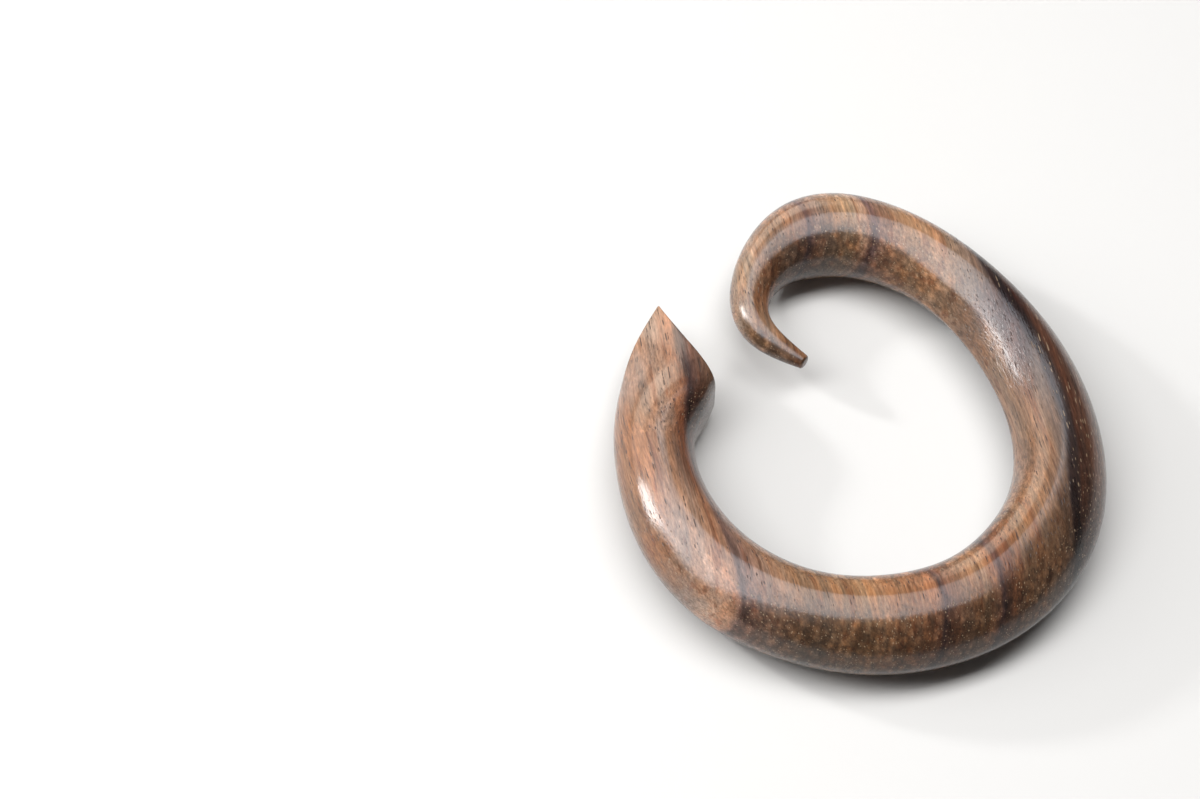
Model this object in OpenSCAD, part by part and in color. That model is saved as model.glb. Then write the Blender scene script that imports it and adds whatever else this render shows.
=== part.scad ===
// Wooden hoop earring: one carved piece that lies flat on its side.
// A round tube makes the ring. One end tapers into a hook that goes through the lobe,
// the other flares and stops in a slanted flat cut that faces the hook.

/* [Ring] */
// Width of the whole hoop, from outer side to outer side
hoop_width = 54; // [45:1:70]
// Thickness of the ring, from the floor to its top
wood_thickness = 10.4; // [9:0.2:12]

/* [Flared end] */
// Height of the cut face near its inner side
cut_height = 6.8; // [6:0.2:8]
// Turn of the cut away from a square one, in degrees
cut_lean = 36; // [28:2:40]
// Shape of the cut face, from 0 for round to 1 for a triangle with its tip outward
cut_pinch = 1; // [0:0.1:1]

/* [Hook] */
// Thickness of the hook where the lobe sits
hook_thickness = 5.2; // [4:0.2:6]
// Diameter of the blunt tip
tip_diameter = 1.6; // [1:0.1:2]

/* [Surface] */
// Sections made from one row of the table to the next
steps = 4; // [3:1:6]
// Corners of each section
corners = 36; // [24:4:48]

/* [Hidden] */

// Half the thickness of the ring, which is also the height of the hoop's middle plane
full = wood_thickness / 2;

// Columns of the table
X = 0;
Y = 1;
HALF_WIDTH = 2;
HALF_HEIGHT = 3;
PINCH = 4;
LEAN = 5;

// A row for each section, from the flared cut round the ring to the tip of the hook:
// x and y of its middle, half width, half height, pinch, lean
table = [
    [-18.6,   9.9, 6.8, cut_height / 2,       cut_pinch,        -cut_lean],
    [-20.3,   6.5, 6.1, full * 0.88,          cut_pinch * 0.85, -cut_lean * 0.7],
    [-21.6,   2.8, 5.3, full * 0.95,          cut_pinch * 0.4,  -cut_lean * 0.55],
    [-22.6,  -1.2, 4.5, full,                 cut_pinch * 0.1,  -cut_lean * 0.3],
    [-22.3,  -6.4, 4.4, full,                 0,                0],
    [-20.4, -13.0, 4.8, full,                 0,                0],
    [-15.6, -20.0, 5.2, full,                 0,                0],
    [ -7.4, -24.7, 5.0, full,                 0,                0],
    [  2.0, -26.0, 5.5, full,                 0,                0],
    [ 11.9, -23.5, 5.5, full,                 0,                0],
    [ 19.0, -17.0, 5.7, full,                 0,                0],
    [ 22.6,  -8.6, 5.2, full,                 0,                0],
    [ 22.3,   0.4, 4.8, full,                 0,                0],
    [ 19.3,   8.9, 4.6, full,                 0,                0],
    [ 14.2,  16.6, 4.1, full,                 0,                0],
    [  7.5,  22.9, 4.2, full,                 0,                0],
    [ -0.3,  26.1, 4.8, full,                 0,                0],
    [ -5.5,  25.3, 4.9, full * 0.92,          0,                0],
    [ -9.8,  21.6, 3.1, full * 0.72,          0,                0],
    [-11.9,  16.3, 2.2, hook_thickness / 2,   0,                0],
    [-10.6,  11.8, 1.8, hook_thickness * 0.43, 0,               0],
    [ -5.6,   8.2, tip_diameter / 2, tip_diameter / 2, 0,       0],
];
last = len(table) - 1;

// One more row past each end makes the curve start and stop on the table's own rows
rows = concat([2 * table[0] - table[1]], table, [2 * table[last] - table[last - 1]]);

// Shares of four neighbouring rows in a smooth curve, and in its direction, at t from 0 to 1
function shares(t) = [pow(1 - t, 3), 3 * t * t * t - 6 * t * t + 4,
                      -3 * t * t * t + 3 * t * t + 3 * t + 1, t * t * t] / 6;
function slopes(t) = [-pow(1 - t, 2), 3 * t * t - 4 * t, -3 * t * t + 2 * t + 1, t * t] / 2;
function mix_rows(i, w) = w[0] * rows[i] + w[1] * rows[i + 1] + w[2] * rows[i + 2] + w[3] * rows[i + 3];

// Height of a section's edge, as a share of its half height, where c runs from
// 1 at the outer side to -1 at the inner side; pinch turns the circle into a triangle
function rise(c, outer, inner) = pow(max(1 - c, 0), outer) * pow(max(1 + c, 0), inner);
function edge_height(c, pinch) =
    let (outer = 0.5 + 0.7 * pinch,
         inner = 0.5 - 0.3 * pinch,
         crest = (inner - outer) / (inner + outer))
    rise(c, outer, inner) / rise(crest, outer, inner);

// Points of one section, which stands upright and faces straight out of the ring plus its lean
function section(row, run) =
    let (facing = atan2(run[Y], run[X]) - 90 + row[LEAN])
    [for (k = [0 : corners - 1])
        let (turn = k * 360 / corners,
             reach = row[HALF_WIDTH] * cos(turn),
             side = k == 0 || k == corners / 2 ? 0 : turn < 180 ? 1 : -1)
        [row[X] + reach * cos(facing),
         row[Y] + reach * sin(facing),
         full + side * row[HALF_HEIGHT] * edge_height(cos(turn), row[PINCH])]];

drawn = concat(
    [for (i = [0 : last - 1], k = [0 : steps - 1])
        section(mix_rows(i, shares(k / steps)), mix_rows(i, slopes(k / steps)))],
    [section(mix_rows(last - 1, shares(1)), mix_rows(last - 1, slopes(1)))]);

// The plan is centred on the origin and brought to the hoop's width; the ring rests on z = 0
all_x = [for (ring = drawn, p = ring) p[X]];
all_y = [for (ring = drawn, p = ring) p[Y]];
middle_x = (max(all_x) + min(all_x)) / 2;
middle_y = (max(all_y) + min(all_y)) / 2;
plan_scale = hoop_width / (max(all_x) - min(all_x));
points = [for (ring = drawn, p = ring)
    [(p[X] - middle_x) * plan_scale, (p[Y] - middle_y) * plan_scale, p[2]]];

// Skin between neighbouring sections, and a flat face at each end
rings = len(drawn);
skin = [for (i = [0 : rings - 2], k = [0 : corners - 1], half = [0, 1])
    let (a = i * corners + k,
         b = i * corners + (k + 1) % corners)
    half == 0 ? [a, b + corners, a + corners] : [a, b, b + corners]];
cut_face = [for (k = [corners - 1 : -1 : 0]) k];
tip_face = [for (k = [0 : corners - 1]) (rings - 1) * corners + k];

// The whole earring is one piece of wood
module hoop() {
    color("#8a5a3c")
        polyhedron(points = points, faces = concat(skin, [cut_face, tip_face]), convexity = 6);
}

hoop();
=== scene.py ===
# Wooden hoop earring: one carved piece of figured hardwood, lying on its side on a pale tabletop
import math

import bpy
import numpy as np
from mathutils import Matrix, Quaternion, Vector


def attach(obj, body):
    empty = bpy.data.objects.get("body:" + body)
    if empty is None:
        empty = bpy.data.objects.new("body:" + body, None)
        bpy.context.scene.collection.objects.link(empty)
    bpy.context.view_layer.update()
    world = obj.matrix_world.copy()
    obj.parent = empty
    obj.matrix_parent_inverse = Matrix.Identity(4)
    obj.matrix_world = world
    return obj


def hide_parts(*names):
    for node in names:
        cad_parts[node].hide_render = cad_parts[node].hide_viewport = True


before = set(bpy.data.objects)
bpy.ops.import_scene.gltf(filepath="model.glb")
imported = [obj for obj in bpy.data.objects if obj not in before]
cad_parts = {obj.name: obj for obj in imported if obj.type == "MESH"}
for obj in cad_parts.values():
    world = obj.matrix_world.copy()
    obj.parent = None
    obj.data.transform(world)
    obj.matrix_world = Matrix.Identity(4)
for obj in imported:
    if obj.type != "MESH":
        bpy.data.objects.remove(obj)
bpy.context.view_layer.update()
print("frame loaded, pieces:", sorted(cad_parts))

mm = 0.001
inMillimetres = 1 / mm


def metres(values):
    return tuple(part * mm for part in values)


# Camera: the photograph's own viewing angle
cameraSet = {
    "lens": 93.0,               # millimetres
    "sensor": 36.0,             # its width, millimetres
    "elevation": 58.0,          # degrees above the table
    "distance": 345.0,          # from the point looked at, millimetres
    "lookAt": (-28.5, 3.4, 5.2),
    "sees": (0.01, 20.0),       # from and to, metres
}


def makeCamera(settings):
    tilt = math.radians(settings["elevation"])
    target = Vector(settings["lookAt"]) * mm
    back = Vector((0.0, -math.cos(tilt), math.sin(tilt)))
    data = bpy.data.cameras.new("photoCamera")
    data.lens = settings["lens"]
    data.sensor_width = settings["sensor"]
    data.clip_start, data.clip_end = settings["sees"]
    camera = bpy.data.objects.new("photoCamera", data)
    camera.location = target + back * settings["distance"] * mm
    camera.rotation_mode = "QUATERNION"
    camera.rotation_quaternion = (-back).to_track_quat("-Z", "Y")
    bpy.context.scene.collection.objects.link(camera)
    bpy.context.scene.camera = camera


makeCamera(cameraSet)
print("camera placed")

# Tabletop and light: soft light from overhead and from the left, and bright things for the polish to mirror
studio = {
    "tableSize": 4000.0,                # side of the tabletop, millimetres
    "tableColour": (0.455, 0.449, 0.441),
    "tableRoughness": 0.75,
    "tableSpecular": 0.2,
    "roomLight": 0.09,                  # strength of the dim room around
}
lights = {
    # place, point aimed at, width and length in millimetres, turn in degrees, power in watts, colour
    "softbox": ((-180, -46, 200), (-180, -46, 0), (530, 190), 19, 1.10, (0.95, 0.99, 1.06)),
    "softboxMiddle": ((-211, -45, 201), (-211, -45, 0), (470, 240), 19, 0.38, (0.9, 1.0, 1.1)),
    "softboxEnd": ((-268, -65, 202), (-268, -65, 0), (350, 340), 19, 0.38, (0.9, 1.0, 1.1)),
    "softboxBack": ((-212, 50, 203), (-212, 50, 0), (300, 130), 19, 0.15, (0.9, 1.0, 1.1)),
    "overhead": ((-140, -20, 700), (-140, -20, 0), (1100, 260), 19, 11.5, (1.0, 1.0, 1.0)),
    "leftFill": ((-420, 10, 270), (0, 0, 0), (280, 280), 0, 0.85, (1.0, 1.0, 1.0)),
    "sideLamp": ((-367, 152, 209), (0, 0, 0), (46, 46), 0, 1.05, (1.0, 1.0, 1.0)),
    "windowPane": ((-405, 45, 155), (0, 0, 5), (110, 165), 0, 1.1, (1.0, 1.0, 1.0)),
    "windowGlow": ((-409, 100, 190), (0, 0, 5), (360, 330), 0, 0.85, (1.0, 1.0, 1.0)),
    "backWall": ((-290, 520, 270), (0, 0, 5), (560, 340), 0, 1.75, (1.15, 1.0, 0.84)),
}
roundLights = ["sideLamp"]
# These light the table and the wood, and don't show in the polish
unreflected = ["overhead", "leftFill", "sideLamp"]
# These show in the polish alone
onlyReflected = [
    "softbox", "softboxMiddle", "softboxEnd", "softboxBack",
    "windowPane", "windowGlow", "backWall",
]


def makeTable(settings):
    half = settings["tableSize"] * mm / 2
    corners = [(-half, -half, 0), (half, -half, 0), (half, half, 0), (-half, half, 0)]
    mesh = bpy.data.meshes.new("tableTop")
    mesh.from_pydata(corners, [], [(0, 1, 2, 3)])
    table = bpy.data.objects.new("tableTop", mesh)
    bpy.context.scene.collection.objects.link(table)
    material = bpy.data.materials.new("paleTable")
    material.use_nodes = True
    shader = material.node_tree.nodes["Principled BSDF"]
    shader.inputs["Base Color"].default_value = (*settings["tableColour"], 1)
    shader.inputs["Roughness"].default_value = settings["tableRoughness"]
    shader.inputs["Specular IOR Level"].default_value = settings["tableSpecular"]
    mesh.materials.append(material)


def makeLight(name, place, aimAt, size, turn, power, colour):
    data = bpy.data.lights.new(name, "AREA")
    data.shape = "ELLIPSE" if name in roundLights else "RECTANGLE"
    data.size = size[0] * mm
    data.size_y = size[1] * mm
    data.energy = power
    data.color = colour
    light = bpy.data.objects.new(name, data)
    light.location = Vector(place) * mm
    light.rotation_mode = "QUATERNION"
    facing = (Vector(aimAt) - Vector(place)).to_track_quat("-Z", "Y")
    light.rotation_quaternion = facing @ Quaternion((0, 0, 1), math.radians(turn))
    light.visible_glossy = name not in unreflected
    light.visible_diffuse = name not in onlyReflected
    bpy.context.scene.collection.objects.link(light)


def makeStudio(settings):
    makeTable(settings)
    for name, values in lights.items():
        makeLight(name, *values)
    world = bpy.data.worlds.new("room")
    world.use_nodes = True
    background = world.node_tree.nodes["Background"]
    background.inputs["Color"].default_value = (1.0, 1.0, 1.0, 1)
    background.inputs["Strength"].default_value = settings["roomLight"]
    bpy.context.scene.world = world
    bpy.context.scene.view_settings.view_transform = "Standard"


makeStudio(studio)
print("studio ready")

# The hoop: a round tube with a hook at one end and a flared, slanted cut at the other
hoop = {
    "width": 54.0,              # outer side to outer side, millimetres
    "thickness": 10.4,
    "cutHeight": 6.8,
    "cutLean": 36.0,            # degrees
    "hookThickness": 5.2,
    "tipDiameter": 1.6,
    "innerSlope": 0.2,          # how much the right-hand limb's inner side slopes away
    "shoulderRise": 0.08,       # height of the faint shoulder where that slope starts, as a share of it
    "shoulderPlace": -0.56,     # from -1 at the inner side to 1 at the outer side
    "shoulderWidth": 0.12,
    "edgeRound": 0.28,          # radius worn on the edges of the cut and the tip
    "edgeSteps": 6,             # rings round such an edge
    "edgeSections": 3,          # sections that those rings stand in for
    "faceInset": 1.7,           # radii from the edge to the outermost ring of the flat face
    "steps": 14,                # sections from one row to the next
    "corners": 112,             # corners of each section
}


def hoopRows(shape):
    full = shape["thickness"] / 2
    lean = shape["cutLean"]
    hook = shape["hookThickness"]
    tip = shape["tipDiameter"] / 2
    slope = shape["innerSlope"]
    # x, y, half width, half height, pinch, lean, inner slope
    return np.array([
        [-18.6, 9.9, 6.8, shape["cutHeight"] / 2, 1.0, -lean, 0],
        [-20.3, 6.5, 6.1, full * 0.88, 0.85, -lean * 0.7, 0],
        [-21.6, 2.8, 5.3, full * 0.95, 0.4, -lean * 0.55, 0],
        [-22.6, -1.2, 4.5, full, 0.1, -lean * 0.3, 0],
        [-22.3, -6.4, 4.4, full, 0, 0, 0],
        [-20.4, -13.0, 4.8, full, 0, 0, 0],
        [-15.6, -20.0, 5.2, full, 0.05, 0, 0],
        [-7.4, -24.7, 5.0, full, 0.08, 0, 0],
        [2.0, -26.0, 5.5, full, 0.1, 0, 0],
        [11.9, -23.5, 5.5, full, 0.1, 0, 0],
        [19.0, -17.0, 5.7, full, 0.12, 0, 0],
        [22.6, -8.6, 5.2, full, 0.12, 0, slope / 2],
        [22.3, 0.4, 4.8, full, 0.05, 0, slope],
        [19.3, 8.9, 4.6, full, 0, 0, slope],
        [14.2, 16.6, 4.1, full, 0, 0, slope * 1.5],
        [7.5, 22.9, 4.2, full, 0, 0, slope],
        [-0.3, 26.1, 4.8, full, 0, 0, 0],
        [-5.5, 25.3, 4.9, full * 0.92, 0, 0, 0],
        [-9.8, 21.6, 3.1, full * 0.72, 0, 0, 0],
        [-11.9, 16.3, 2.2, hook / 2, 0, 0, 0],
        [-10.6, 11.8, 1.8, hook * 0.43, 0, 0, 0],
        [-5.3, 8.1, tip, tip, 0, 0, 0],
    ])


def sharesAt(t):
    # shares of four neighbouring rows in a smooth curve, with t from 0 to 1
    return np.array([
        (1 - t) ** 3,
        3 * t ** 3 - 6 * t ** 2 + 4,
        -3 * t ** 3 + 3 * t ** 2 + 3 * t + 1,
        t ** 3,
    ]) / 6


def slopesAt(t):
    # their shares in its direction
    return np.array([
        -(1 - t) ** 2,
        3 * t ** 2 - 4 * t,
        -3 * t ** 2 + 2 * t + 1,
        t ** 2,
    ]) / 2


def edgeHeight(across, pinch, slope, shape):
    # both powers are a half in a round section; a pinch moves its crest inwards, and a slope outwards
    outer = 0.5 + 0.7 * pinch
    inner = 0.5 - 0.3 * pinch + slope
    crest = (inner - outer) / (inner + outer)
    rise = np.clip(1 - across, 0, None) ** outer * np.clip(1 + across, 0, None) ** inner
    fromShoulder = (across - shape["shoulderPlace"]) / shape["shoulderWidth"]
    shoulder = 1 + shape["shoulderRise"] * slope * np.exp(-fromShoulder ** 2)
    return shoulder * rise / ((1 - crest) ** outer * (1 + crest) ** inner)


def section(row, run, shape):
    # it stands upright and faces straight out of the ring, plus its lean
    x, y, halfWidth, halfHeight, pinch, lean, slope = row
    turn = np.linspace(0, 2 * math.pi, shape["corners"], endpoint=False)
    across = np.cos(turn)
    above = np.sign(np.round(np.sin(turn), 9))      # 0 at the two sides, where rounding would leave a speck
    facing = math.atan2(run[1], run[0]) - math.pi / 2 + math.radians(lean)
    return np.stack([
        x + halfWidth * across * math.cos(facing),
        y + halfWidth * across * math.sin(facing),
        shape["thickness"] / 2 + halfHeight * edgeHeight(across, pinch, slope, shape) * above,
    ], axis=1)


def hoopRings(shape):
    rows = hoopRows(shape)
    # one more row past each end makes the curve start and stop on the table's own rows
    rows = np.vstack([2 * rows[0] - rows[1], rows, 2 * rows[-1] - rows[-2]])
    rings = []
    for i in range(len(rows) - 3):
        four = rows[i:i + 4]
        for k in range(shape["steps"]):
            t = k / shape["steps"]
            rings.append(section(sharesAt(t) @ four, slopesAt(t) @ four, shape))
    rings.append(section(sharesAt(1) @ four, slopesAt(1) @ four, shape))
    rings = np.array(rings)
    # the plan is centred and brought to the hoop's width
    low = rings.reshape(-1, 3).min(axis=0)
    high = rings.reshape(-1, 3).max(axis=0)
    toWidth = shape["width"] / (high[0] - low[0])
    rings[:, :, :2] = (rings[:, :, :2] - (low[:2] + high[:2]) / 2) * toWidth
    return rings


def wornEdge(edge, wall, shape):
    # rings from the flat face round its edge to the side
    radius = shape["edgeRound"]
    inwards = edge.mean(axis=0) - edge
    inwards = inwards / np.linalg.norm(inwards, axis=1, keepdims=True)
    side = (wall - edge) / np.linalg.norm(wall - edge, axis=1, keepdims=True)
    worn = [edge + inwards * radius * shape["faceInset"]]
    for turn in np.linspace(0, math.pi / 2, shape["edgeSteps"]):
        worn.append(edge + radius * (inwards * (1 - math.sin(turn)) + side * (1 - math.cos(turn))))
    return np.array(worn)


def makeHoop(shape):
    rings = hoopRings(shape)
    skip = shape["edgeSections"]
    cutEdge = wornEdge(rings[0], rings[skip], shape)
    tipEdge = wornEdge(rings[-1], rings[-1 - skip], shape)
    rings = np.concatenate([cutEdge, rings[skip:-skip], tipEdge[::-1]])
    count, corners = rings.shape[:2]
    points = rings.reshape(-1, 3)
    faces = []
    for i in range(count - 1):
        for k in range(corners):
            a = i * corners + k
            b = i * corners + (k + 1) % corners
            faces.append((a, a + corners, b + corners, b))
    # a fan of triangles closes each end
    cut = len(points)
    tip = cut + 1
    points = np.vstack([points, rings[0].mean(axis=0), rings[-1].mean(axis=0)])
    last = (count - 1) * corners
    for k in range(corners):
        j = (k + 1) % corners
        faces.append((k, j, cut))
        faces.append((last + j, last + k, tip))
    mesh = bpy.data.meshes.new("woodenHoop")
    mesh.from_pydata((points * mm).tolist(), [], faces)
    mesh.update()
    mesh.shade_smooth()
    piece = bpy.data.objects.new("woodenHoop", mesh)
    bpy.context.scene.collection.objects.link(piece)
    return piece


hoopPiece = makeHoop(hoop)
print("hoop carved:", len(hoopPiece.data.polygons), "faces")

# The wood: one block of figured hardwood, coloured through its whole depth
wood = {
    "acrossGrain": (1.0, 0.25, -0.465),     # from one growth layer to the next
    "alongGrain": (-0.20, 0.96, -0.10),     # the way the fibres run
    "darkWay": (-0.28, 0.86, -0.43),        # surfaces that face this way or its opposite are darkest
    "slowWave": 0.6,                        # millimetres that the layers wander over a long stretch
    "quickWave": 0.6,                       # and over a short one
    "paleLayer": (-21.5, -20.9),            # outside these layers the wood stays pale where the fibres end
    "redLayer": (12.0, 13.5),               # beyond these the pores are filled pale everywhere
    "upperReach": (-12.0, 8.0),             # along the grain, from where the upper shades start to full
    # the wood wanders from grey to orange, with thin reddish veins
    "greyTint": (0.90, 0.97, 1.04),
    "orangeTint": (1.14, 0.99, 0.84),
    "tintSpread": (0.35, 0.68),
    "veinTint": (0.76, 0.65, 0.60),
    "veinSpread": (0.56, 0.66),
    # brightness of the darkest and the lightest streaks
    "broadStreaks": (0.76, 1.22),
    "fineStreaks": (0.52, 1.42),
    "grit": (0.74, 1.22),
    # what lines and blotches add to the brightness of end grain, and how far fibres face out there
    "endLines": (-0.28, 0.28),
    "endBlotches": (0.3, -0.35),
    "endFacing": (0.25, 0.6),
    # brightness, and what is added to it where the surface turns the dark way, in pale wood and in the rest
    "brightness": 1.03,
    "turnedShade": (0.55, -0.67),
    "turnedFacing": (0.1, 1.05),
    "lengthShade": (-20.0, 22.0, 0.88, 1.2),    # from and to along the grain, and the brightness there
    # pores, which are long tubes
    "poreSide": (0.030, 0.020, 0.018),      # colour where they are cut along their length
    "poreEnd": (0.30, 0.215, 0.14),         # colour where they are cut across, filled pale
    "poreFacing": (0.3, 0.5),               # from the one to the other
    "poreCover": (0.88, 0.5),               # how much of the wood each hides
    "poreGap": 0.29,                        # millimetres from pore to pore
    "poreSize": 0.28,                       # radius of the widest, as a share of the gap
    "poreless": 0.2,                        # share of places without one
    "poreBreaks": (0.4, 0.6, 0.1, 1.0),     # from and to in their pattern, and the width left there
    "poreEdge": (-0.05, 0.06),
    "poreWave": 0.8,
    # surface
    "polish": (0.9, 0.35),                  # on closed wood and in an open pore
    "polishRoughness": 0.12,
    "roughness": (0.8, 1.2, 0.6, 0.4),      # from dark streaks to light ones, and the roughness there
    "specular": 0.08,
    "bumpStrength": 0.4,
    "bumpHeight": 0.1,                      # millimetres
    "poreDepth": 0.8,                       # shares of that height
    "fibreRelief": 0.25,
}
patterns = {
    # changes in each millimetre across, along and through the grain, detail, roughness
    "slowWave": ((0.05, 0.06, 0.08), 1.0, 0.5),
    "quickWave": ((0.6, 0.04, 0.3), 2.0, 0.5),
    "tint": ((0.8, 0.03, 0.5), 3.0, 0.6),
    "veins": ((1.8, 0.03, 1.0), 2.0, 0.5),
    "broadStreaks": ((1.1, 0.04, 0.7), 3.0, 0.6),
    "fineStreaks": ((3.6, 0.2, 3.6), 4.0, 0.7),
    "grit": ((5.5, 1.0, 5.5), 2.0, 0.6),
    "endLines": ((1 / 0.55, 0.02, 0.2), 1.0, 0.5),
    "poreWave": ((0.3, 0.12, 0.3), 1.0, 0.5),
    "poreBreaks": ((2.0, 1.2, 2.0), 1.0, 0.5),
    "scratches": ((5.0, 0.15, 5.0), 2.0, 0.6),
}
patternSpread = (0.3, 0.7)      # nearly all of a pattern's values lie between these
blotchShares = (1.3, 0.5, 1.3)  # blotches in each millimetre across, along and through the grain
blotchSpread = (0.15, 0.7)
flareFigure = {
    # the layers bend towards the flared end, and by its inner side the wood is darker, with painted shade on
    # the flare's inner face
    "bendReach": (-8.0, 16.0),              # y from where the bend starts to where it is full, millimetres
    "bend": -4.9,
    "bendSide": (-15.0, -12.0),             # x where the bend fades out
    "fibreStart": -4.0,                     # y where the fibres start to follow the flare
    "fibreTurn": (-0.1, 0.0, 0.25),         # how far they turn for each millimetre
    # painted shade: from this corner the flare's inner face is darkened, partly darker wood and partly
    # painted shade where that face turns from the light
    "darkCorner": (-19.2, 5.5, 9.4),
    "darkWay": (0.68, -0.73, 0.0),          # from the edge of the dark part into it
    "darkEdge": (-0.2, 0.3),
    "darkLayer": (-21.3, -20.7),
    "darkReach": (5.1, 8.5),                # millimetres from the corner, from dark to faded
    "darkness": 0.24,
}
darkShoulder = {
    # between these layers the wood darkens at once where it turns outwards, on the lower right
    "from": (4.5, 7.0),
    "to": (12.1, 12.7),
    "fade": (-13.0, -7.0),                  # along the grain
    "facing": (0.38, 0.56),
    "darkness": 0.58,
}
rightBulge = {
    # the layers swell sideways round this point
    "centre": (20.3, 2.5, 10.4),
    "reach": (2.0, 17.5),                   # millimetres, from full to faded
    "swell": 2.25,
}
wornPolish = {
    # fine scratches along the top of the right-hand limb
    "middle": (17.2, 8.5, 10.2),
    "halfSize": (5.0, 16.0, 4.5),
    "wear": 0.20,                           # polish lost
    "scratchDepth": 0.4,
    "scratchSpread": (0.5, 0.64),
}
patches = {
    # middle and half size in millimetres, and what multiplies the colour there
    # painted reflection: lightens the lower left rim, partly pale wood and partly a painted pale veil
    # mirrored from low on the left
    "lowerRimPaleWoodAndReflection": ((-16.8, -24.8, 5.0), (5.0, 4.0, 4.5), (1.50, 1.52, 1.48)),
    "topInner": ((5.5, 19.8, 9.2), (8.5, 4.5, 5.0), (1.20, 1.20, 1.21)),
    "leftInner": ((-18.8, -4.0, 8.6), (3.4, 9.5, 3.7), (0.58, 0.45, 0.39)),
    "rightUpper": ((15.4, 12.4, 9.9), (2.6, 5.0, 2.6), (0.65, 0.58, 0.62)),
    "rightTop": ((17.3, 7.8, 10.2), (2.6, 12.0, 3.0), (0.45, 0.38, 0.44)),
    # painted shade: these two darken the inner side of the right-hand limb, partly darker streaked wood and
    # partly painted shade against the light from the left
    "rightInnerUpStreaksAndShade": ((12.8, 11.2, 7.4), (3.0, 5.0, 3.2), (0.86, 0.83, 0.84)),
    "rightInnerLowStreaksAndShade": ((18.0, -6.7, 8.8), (2.2, 4.2, 2.6), (0.86, 0.84, 0.87)),
    "topOuter": ((0.5, 26.6, 10.0), (7.5, 2.8, 3.0), (0.83, 0.94, 1.05)),
    "hookInner": ((-9.4, 17.5, 7.2), (2.0, 4.5, 3.0), (1.40, 1.10, 0.90)),
    "flareStreak": ((-19.2, 5.2, 9.5), (1.3, 2.8, 1.8), (0.76, 0.77, 0.80)),
}
patchFade = (0.3, 1.1)          # shares of the half size between which a patch fades out
growthLayers = [
    # place across the grain in millimetres, colour; a ramp holds 32 of them
    (-26.7, (0.17, 0.079, 0.037)),
    (-25.0, (0.18, 0.11, 0.076)),
    (-23.0, (0.23, 0.14, 0.096)),
    (-21.7, (0.23, 0.11, 0.060)),
    (-21.1, (0.098, 0.053, 0.041)),
    (-20.4, (0.19, 0.10, 0.069)),
    (-18.5, (0.22, 0.12, 0.074)),
    (-16.0, (0.17, 0.097, 0.055)),
    (-14.5, (0.17, 0.097, 0.055)),
    (-13.0, (0.21, 0.11, 0.056)),
    (-10.0, (0.23, 0.12, 0.058)),
    (-8.0, (0.25, 0.13, 0.069)),
    (-6.6, (0.19, 0.090, 0.043)),
    (-4.4, (0.23, 0.11, 0.057)),
    (-3.3, (0.18, 0.085, 0.048)),
    (-2.8, (0.060, 0.030, 0.026)),
    (-2.2, (0.16, 0.076, 0.046)),
    (-0.5, (0.20, 0.10, 0.054)),
    (1.5, (0.23, 0.12, 0.061)),
    (2.8, (0.21, 0.10, 0.056)),
    (3.35, (0.055, 0.028, 0.025)),
    (4.1, (0.14, 0.064, 0.037)),
    (6.5, (0.17, 0.085, 0.043)),
    (8.5, (0.21, 0.11, 0.059)),
    (10.0, (0.17, 0.094, 0.054)),
    (12.3, (0.11, 0.068, 0.048)),
    (12.6, (0.022, 0.013, 0.012)),
    (13.5, (0.023, 0.014, 0.012)),
    (14.0, (0.062, 0.027, 0.017)),
    (16.5, (0.092, 0.041, 0.023)),
    (18.5, (0.11, 0.050, 0.026)),
    (21.0, (0.12, 0.053, 0.028)),
]
upperShade = [
    # place across the grain, and what multiplies its colour towards the upper end of the block
    (-26.0, (0.90, 0.86, 0.83)),
    (-23.0, (0.78, 0.73, 0.68)),
    (-21.9, (0.77, 0.76, 0.78)),
    (-21.1, (0.30, 0.30, 0.36)),
    (-20.5, (0.46, 0.44, 0.46)),
    (-19.0, (0.52, 0.49, 0.49)),
    (-16.5, (0.66, 0.62, 0.60)),
    (-12.0, (0.70, 0.80, 0.97)),
    (-3.5, (0.71, 0.80, 0.93)),
    (-1.0, (0.88, 0.99, 1.09)),
    (3.0, (1.28, 1.38, 1.45)),
    (7.0, (1.25, 1.32, 1.35)),
    (10.2, (1.02, 1.06, 1.09)),
    (12.4, (0.85, 0.87, 0.92)),
    (13.0, (0.95, 0.95, 0.95)),
    (15.0, (0.75, 0.77, 0.80)),
    (18.0, (0.78, 0.90, 1.02)),
]
layerSpan = 28.0                # both tables lie between minus this and plus this


def addNode(tree, kind, *inputs, **settings):
    added = tree.nodes.new("ShaderNode" + kind)
    for name, value in settings.items():
        setattr(added, name, value)
    for place, value in enumerate(inputs):
        if isinstance(value, bpy.types.NodeSocket):
            tree.links.new(value, added.inputs[place])
        elif value is not None:
            added.inputs[place].default_value = value
    return added


def maths(tree, way, first, second=None, third=None):
    return addNode(tree, "Math", first, second, third, operation=way).outputs[0]


def vectorMaths(tree, way, first, second):
    return addNode(tree, "VectorMath", first, second, operation=way)


def product(tree, *values):
    # all of them multiplied
    total = values[0]
    for value in values[1:]:
        total = maths(tree, "MULTIPLY", total, value)
    return total


def remap(tree, value, low, high, toLow=0.0, toHigh=1.0, soft=True):
    way = "SMOOTHSTEP" if soft else "LINEAR"
    return addNode(tree, "MapRange", value, low, high, toLow, toHigh, interpolation_type=way).outputs[0]


def mixColour(tree, share, first, second, way="MIX"):
    mixed = addNode(tree, "Mix", share, data_type="RGBA", blend_type=way)
    for place, value in ((6, first), (7, second)):
        if isinstance(value, bpy.types.NodeSocket):
            tree.links.new(value, mixed.inputs[place])
        else:
            mixed.inputs[place].default_value = (*value, 1)
    return mixed.outputs[2]


def tinted(tree, colour, tint, share=1.0):
    return mixColour(tree, share, colour, tint, "MULTIPLY")


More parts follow.
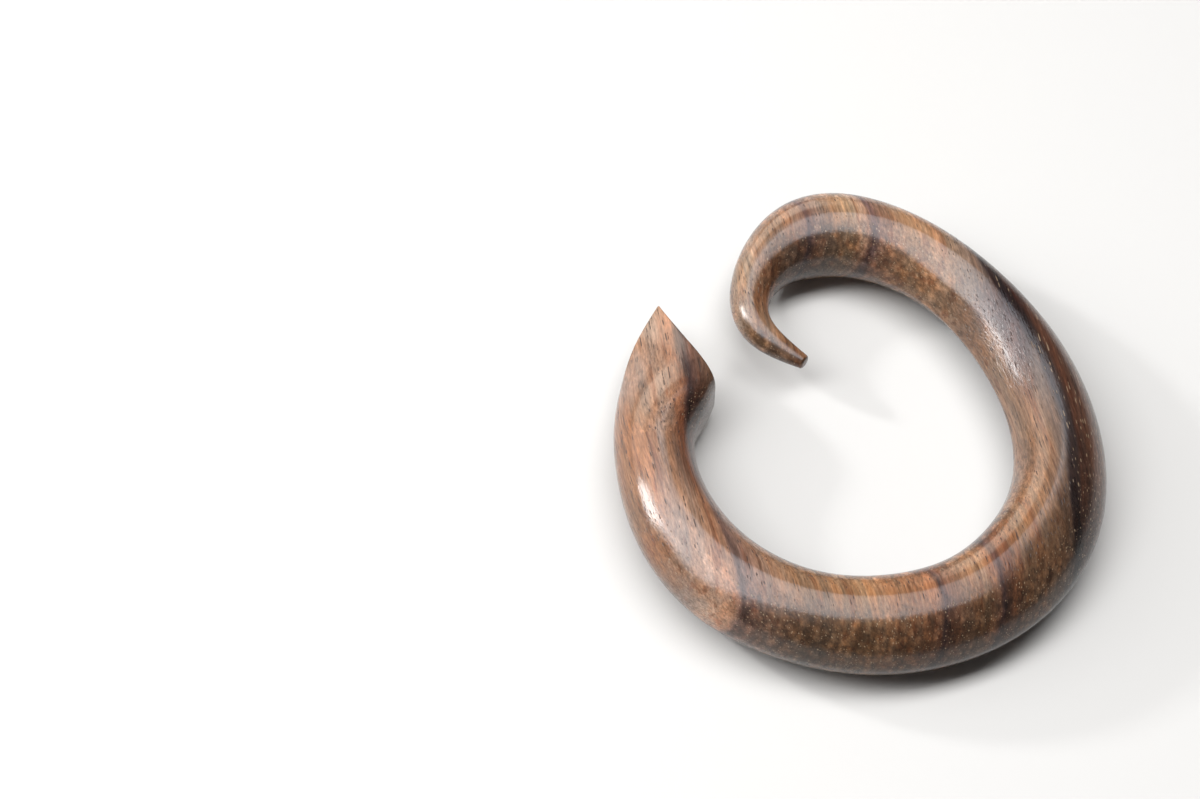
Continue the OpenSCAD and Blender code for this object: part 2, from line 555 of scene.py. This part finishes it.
def grey(tree, value):
    return addNode(tree, "CombineColor", value, value, value).outputs[0]


def unit(direction):
    return tuple(Vector(direction).normalized())


def distanceAlong(tree, place, direction, scale=1.0):
    steered = tuple(scale * part for part in direction)
    return vectorMaths(tree, "DOT_PRODUCT", place, steered).outputs[1]


def distanceFrom(tree, place, point):
    return vectorMaths(tree, "DISTANCE", place, metres(point)).outputs[1]


def stretched(tree, place, shares):
    return vectorMaths(tree, "MULTIPLY", place, shares).outputs[0]


def nearness(tree, place, middle, halfSize):
    # 1 in the middle of an oval patch, and 0 outside it
    fromMiddle = vectorMaths(tree, "SUBTRACT", place, metres(middle)).outputs[0]
    shares = tuple(1 / (part * mm) for part in halfSize)
    away = addNode(tree, "VectorMath", stretched(tree, fromMiddle, shares), operation="LENGTH").outputs[1]
    return remap(tree, away, *patchFade, 1.0, 0.0)


def pattern(tree, at, name):
    shares, detail, roughness = patterns[name]
    grain = stretched(tree, at["grain"], shares)
    return addNode(tree, "TexNoise", grain, None, 1.0, detail, roughness).outputs[0]


def spread(tree, at, name, look):
    return remap(tree, pattern(tree, at, name), *patternSpread, *look[name], soft=False)


def layerRamp(tree, layer, rows):
    ramp = addNode(tree, "ValToRGB", remap(tree, layer, -layerSpan, layerSpan, soft=False))
    stops = ramp.color_ramp.elements
    while len(stops) < len(rows):
        stops.new(0.5)
    for stop, (distance, colour) in zip(stops, rows):
        stop.position = (distance + layerSpan) / (2 * layerSpan)
        stop.color = (*colour, 1)
    return ramp.outputs[0]


def turnedFibres(tree, place, figure):
    apart = addNode(tree, "SeparateXYZ", place)
    past = maths(tree, "SUBTRACT", apart.outputs[1], figure["fibreStart"] * mm)
    past = maths(tree, "MAXIMUM", past, 0.0)
    side = remap(tree, apart.outputs[0], *metres(figure["bendSide"]), 1.0, 0.0)
    turn = addNode(tree, "VectorMath", figure["fibreTurn"], operation="SCALE")
    tree.links.new(product(tree, past, side), turn.inputs["Scale"])
    return vectorMaths(tree, "ADD", place, turn.outputs[0]).outputs[0]


def bentLayers(tree, place, layer, figure):
    apart = addNode(tree, "SeparateXYZ", place)
    share = remap(tree, apart.outputs[1], *metres(figure["bendReach"]), soft=False)
    side = remap(tree, apart.outputs[0], *metres(figure["bendSide"]), figure["bend"], 0.0)
    return maths(tree, "MULTIPLY_ADD", product(tree, share, share), side, layer)


def swollenLayers(tree, place, layer, figure):
    away = distanceFrom(tree, place, figure["centre"])
    swell = remap(tree, away, *metres(figure["reach"]), figure["swell"], 0.0)
    return maths(tree, "SUBTRACT", layer, swell)


def findLayer(tree, at, across, look):
    # the place across the grain: a little wavy, bent at the flare and swollen on the right;
    # the waves wander round a half
    slowWave = maths(tree, "SUBTRACT", pattern(tree, at, "slowWave"), 0.5)
    quickWave = maths(tree, "SUBTRACT", pattern(tree, at, "quickWave"), 0.5)
    slowShift = product(tree, slowWave, look["slowWave"])
    shift = maths(tree, "MULTIPLY_ADD", quickWave, look["quickWave"], slowShift)
    layer = maths(tree, "ADD", distanceAlong(tree, at["place"], across, inMillimetres), shift)
    layer = bentLayers(tree, at["place"], layer, flareFigure)
    return swollenLayers(tree, at["place"], layer, rightBulge)


def findPlaces(tree, look):
    # where each point lies in the block of wood, in millimetres, and how its surface meets the fibres
    across = unit(look["acrossGrain"])
    along = unit(look["alongGrain"])
    through = unit(Vector(across).cross(Vector(along)))
    square = tuple(Vector(along).cross(Vector(through)))
    coordinates = addNode(tree, "TexCoord")
    place = coordinates.outputs["Object"]
    normal = coordinates.outputs["Normal"]
    fibres = turnedFibres(tree, place, flareFigure)
    sideways = distanceAlong(tree, fibres, square, inMillimetres)
    lengthways = distanceAlong(tree, fibres, along, inMillimetres)
    inwards = distanceAlong(tree, fibres, through, inMillimetres)
    at = {
        "place": place,
        "sideways": sideways,
        "lengthways": lengthways,
        "inwards": inwards,
        "grain": addNode(tree, "CombineXYZ", sideways, lengthways, inwards).outputs[0],
        "endGrain": maths(tree, "ABSOLUTE", distanceAlong(tree, normal, along)),
        "turned": maths(tree, "ABSOLUTE", distanceAlong(tree, normal, unit(look["darkWay"]))),
    }
    at["layer"] = findLayer(tree, at, across, look)
    # 0 in the pale outer wood, which shows no end grain, and 1 in the rest
    at["figured"] = remap(tree, at["layer"], *look["paleLayer"])
    at["cutAcross"] = product(tree, at["figured"], remap(tree, at["endGrain"], *look["endFacing"]))
    at["fine"] = spread(tree, at, "fineStreaks", look)
    return at


def layerColour(tree, at, look):
    colour = layerRamp(tree, at["layer"], growthLayers)
    upper = remap(tree, at["lengthways"], *look["upperReach"])
    return tinted(tree, colour, layerRamp(tree, at["layer"], upperShade), upper)


def addStreaks(tree, at, colour, look):
    # along the fibres, from greyish to orange and from dark to light
    wander = remap(tree, pattern(tree, at, "tint"), *look["tintSpread"])
    colour = tinted(tree, colour, mixColour(tree, wander, look["greyTint"], look["orangeTint"]))
    broad = spread(tree, at, "broadStreaks", look)
    endLines = spread(tree, at, "endLines", look)
    lined = maths(tree, "MULTIPLY_ADD", at["cutAcross"], endLines, 1.0)
    grit = spread(tree, at, "grit", look)
    colour = tinted(tree, colour, grey(tree, product(tree, broad, at["fine"], lined, grit)))
    veins = remap(tree, pattern(tree, at, "veins"), *look["veinSpread"])
    return tinted(tree, colour, look["veinTint"], veins)


def shoulderShade(tree, at, brightness, figure):
    patch = product(
        tree,
        remap(tree, at["layer"], *figure["from"]),
        remap(tree, at["layer"], *figure["to"], 1.0, 0.0),
        remap(tree, at["lengthways"], *figure["fade"], 1.0, 0.0),
        remap(tree, at["turned"], *figure["facing"]),
    )
    return maths(tree, "MULTIPLY_ADD", patch, -figure["darkness"], brightness)


# darkens the flare's inner face: darker wood there plus painted shade
def flareShade(tree, at, figure):
    way = Vector(figure["darkWay"]).normalized()
    edge = Vector(figure["darkCorner"]).dot(way)
    into = maths(tree, "SUBTRACT", distanceAlong(tree, at["place"], way, inMillimetres), edge)
    away = distanceFrom(tree, at["place"], figure["darkCorner"])
    patch = product(
        tree,
        remap(tree, into, *figure["darkEdge"]),
        remap(tree, at["layer"], *figure["darkLayer"]),
        remap(tree, away, *metres(figure["darkReach"]), 1.0, 0.0),
    )
    return maths(tree, "MULTIPLY_ADD", patch, -figure["darkness"], 1.0)


def addShade(tree, at, colour, look):
    # darker and blotchy where the fibres end at the surface, and darker towards the block's lower end
    steep = remap(tree, at["turned"], *look["turnedFacing"])
    added = remap(tree, at["figured"], 0.0, 1.0, *look["turnedShade"])
    turnedShade = maths(tree, "MULTIPLY_ADD", steep, added, look["brightness"])
    shoulder = shoulderShade(tree, at, look["brightness"], darkShoulder)
    blotches = addNode(tree, "TexVoronoi", stretched(tree, at["grain"], blotchShares), None, 1.0)
    blotched = remap(tree, blotches.outputs["Distance"], *blotchSpread, *look["endBlotches"])
    shade = product(
        tree,
        maths(tree, "MINIMUM", turnedShade, shoulder),
        remap(tree, at["lengthways"], *look["lengthShade"]),
        maths(tree, "MULTIPLY_ADD", at["cutAcross"], blotched, 1.0),
        # painted shade on the flare's inner face, together with its darker wood
        flareShade(tree, at, flareFigure),
    )
    return tinted(tree, colour, grey(tree, shade))


def findPores(tree, at, look):
    # where the pores are, and where they are pale: where cut across, or in the red wood
    wave = product(tree, pattern(tree, at, "poreWave"), look["poreWave"])
    tubes = addNode(
        tree, "CombineXYZ",
        maths(tree, "MULTIPLY_ADD", at["sideways"], 1 / look["poreGap"], wave),
        product(tree, at["inwards"], 1 / look["poreGap"]),
    ).outputs[0]
    cells = addNode(tree, "TexVoronoi", tubes, None, 1.0, voronoi_dimensions="2D")
    chance = addNode(tree, "SeparateColor", cells.outputs["Color"]).outputs[0]
    size = remap(tree, chance, look["poreless"], 1.0, 0.0, look["poreSize"], soft=False)
    size = product(tree, size, remap(tree, pattern(tree, at, "poreBreaks"), *look["poreBreaks"]))
    inside = maths(tree, "SUBTRACT", size, cells.outputs["Distance"])
    pore = remap(tree, inside, *look["poreEdge"])
    red = remap(tree, at["layer"], *look["redLayer"])
    pale = maths(tree, "MAXIMUM", remap(tree, at["endGrain"], *look["poreFacing"]), red)
    return pore, pale


def addPolish(tree, at, shader, pore, pale, look):
    # glossy, with the dark pores left open
    openPore = product(tree, pore, maths(tree, "SUBTRACT", 1.0, pale))
    worn = nearness(tree, at["place"], wornPolish["middle"], wornPolish["halfSize"])
    gloss = remap(tree, openPore, 0.0, 1.0, *look["polish"])
    gloss = maths(tree, "MULTIPLY_ADD", worn, -wornPolish["wear"], gloss)
    scratches = remap(tree, pattern(tree, at, "scratches"), *wornPolish["scratchSpread"])
    relief = product(tree, at["fine"], look["fibreRelief"])
    relief = maths(tree, "MULTIPLY_ADD", openPore, -look["poreDepth"], relief)
    relief = maths(tree, "MULTIPLY_ADD", product(tree, worn, scratches), -wornPolish["scratchDepth"], relief)
    bump = addNode(tree, "Bump", look["bumpStrength"], look["bumpHeight"] * mm, None, relief).outputs[0]
    tree.links.new(gloss, shader.inputs["Coat Weight"])
    tree.links.new(remap(tree, at["fine"], *look["roughness"]), shader.inputs["Roughness"])
    tree.links.new(bump, shader.inputs["Normal"])
    tree.links.new(bump, shader.inputs["Coat Normal"])
    shader.inputs["Coat Roughness"].default_value = look["polishRoughness"]
    shader.inputs["Specular IOR Level"].default_value = look["specular"]


def makeWood(look):
    material = bpy.data.materials.new("polishedWood")
    material.use_nodes = True
    tree = material.node_tree
    shader = tree.nodes["Principled BSDF"]
    at = findPlaces(tree, look)
    colour = layerColour(tree, at, look)
    colour = addStreaks(tree, at, colour, look)
    colour = addShade(tree, at, colour, look)
    # soft patches of tone; two of them carry painted shade and one a painted reflection
    for middle, halfSize, shade in patches.values():
        colour = tinted(tree, colour, shade, nearness(tree, at["place"], middle, halfSize))
    pore, pale = findPores(tree, at, look)
    poreColour = mixColour(tree, pale, look["poreSide"], look["poreEnd"])
    cover = product(tree, pore, remap(tree, pale, 0.0, 1.0, *look["poreCover"]))
    tree.links.new(mixColour(tree, cover, colour, poreColour), shader.inputs["Base Color"])
    addPolish(tree, at, shader, pore, pale, look)
    return material


hoopPiece.data.materials.append(makeWood(wood))
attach(hoopPiece, "root")
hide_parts("hoop")
print("wood finished")
